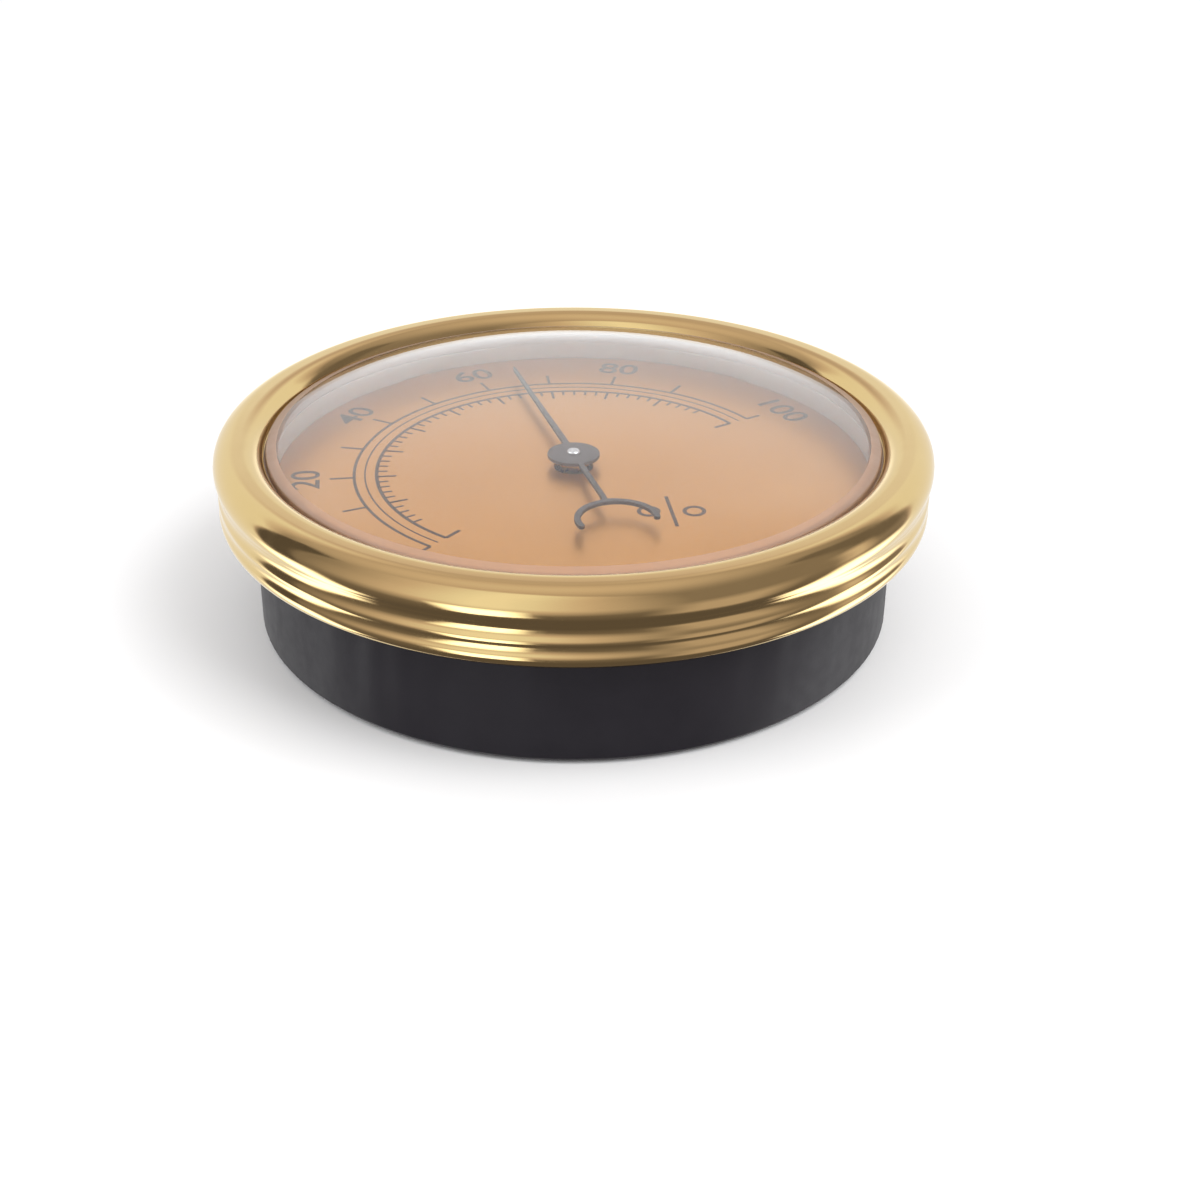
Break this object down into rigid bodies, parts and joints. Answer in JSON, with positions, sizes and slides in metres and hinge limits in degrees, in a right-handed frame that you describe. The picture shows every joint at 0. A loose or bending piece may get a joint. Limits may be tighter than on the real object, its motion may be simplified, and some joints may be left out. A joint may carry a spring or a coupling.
{
  "type": "dial hygrometer",
  "caption": "Round panel-mounted dial hygrometer with a rolled bezel, a domed clear lens, a pointer on a coil movement and a slotted calibration post at the back.",
  "frame": {"origin": "on the pointer's axis, in the plane of the bezel's underside, where the barrel starts", "axes": "+Z out of the dial towards the reader, +Y to twelve o'clock (50 per cent), +X to three o'clock"},
  "size_m": [0.08, 0.08, 0.0241],
  "materials": {
    "gold_plate": "bright gold plate",
    "clear_acrylic": "clear, polished",
    "grey_silicone": "matt, light grey",
    "copper_lacquer": "satin copper-coloured lacquer",
    "black_plastic": "semi-gloss moulding",
    "plated_steel": "bright zinc plate",
    "polished_steel": "polished",
    "turned_brass": "as turned",
    "bronze_strip": "satin strip with a dull coating",
    "black_paint": "satin black lacquer"
  },
  "bodies": {
    "housing": {"bezel": "gold_plate", "lens": "clear_acrylic", "lens_gasket": "grey_silicone", "dial_plate": "copper_lacquer", "case": "black_plastic", "movement_bridge": "plated_steel", "bridge_screws": "plated_steel", "front_bush": "turned_brass"},
    "adjuster": {"adjuster_post": "turned_brass", "adjuster_arm": "plated_steel", "rear_bush": "turned_brass", "coil_stud": "turned_brass", "friction_washer": "plated_steel", "retaining_clip": "plated_steel", "hygro_coil": "bronze_strip"},
    "needle": {"pointer": "black_paint", "pointer_collet": "turned_brass", "arbor": "polished_steel", "coil_collet": "turned_brass", "coil_pin": "plated_steel"}
  },
  "joints": [
    {"name": "calibration_turn", "type": "hinge", "parent": "housing", "child": "adjuster", "pos_m": [0, 0, 0], "axis": [0, 0, 1], "range_deg": [-30, 30]},
    {"name": "pointer_turn", "type": "hinge", "parent": "adjuster", "child": "needle", "pos_m": [0, 0, 0], "axis": [0, 0, 1], "range_deg": [-73, 127], "stiffness_Nm_per_rad": 0.00002, "deforming": ["hygro_coil"]}
  ]
}
